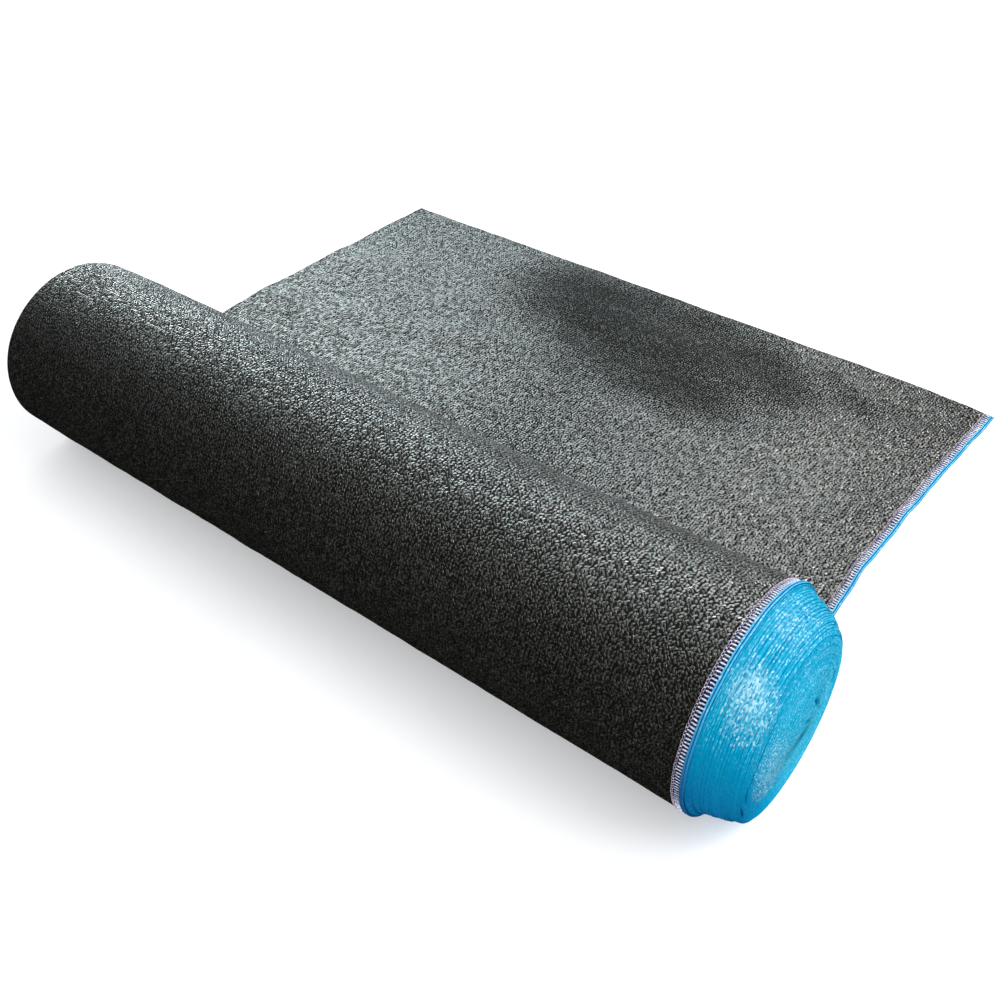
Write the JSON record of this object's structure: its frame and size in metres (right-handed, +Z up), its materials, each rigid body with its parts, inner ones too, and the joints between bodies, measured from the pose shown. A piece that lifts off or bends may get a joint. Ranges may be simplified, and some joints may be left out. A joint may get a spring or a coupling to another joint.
{
  "type": "shade cloth",
  "caption": "Roll of knitted shade cloth lying on its side, its black loose length laid out flat behind it and its blue selvedge wound into a dome at one end.",
  "frame": {"origin": "middle of the whole thing's footprint, on the floor", "axes": "+X along the roll towards its blue end, +Y from the roll to the cut end of the loose length, +Z up"},
  "size_m": [1.3234, 0.9438, 0.2972],
  "materials": {
    "black_knit": "knitted plastic tape and yarn, slightly glossy",
    "blue_knit": "knitted plastic yarn, slightly glossy"
  },
  "bodies": {
    "root": {"black_cloth": "black_knit", "blue_selvedge": "blue_knit"}
  },
  "joints": []
}
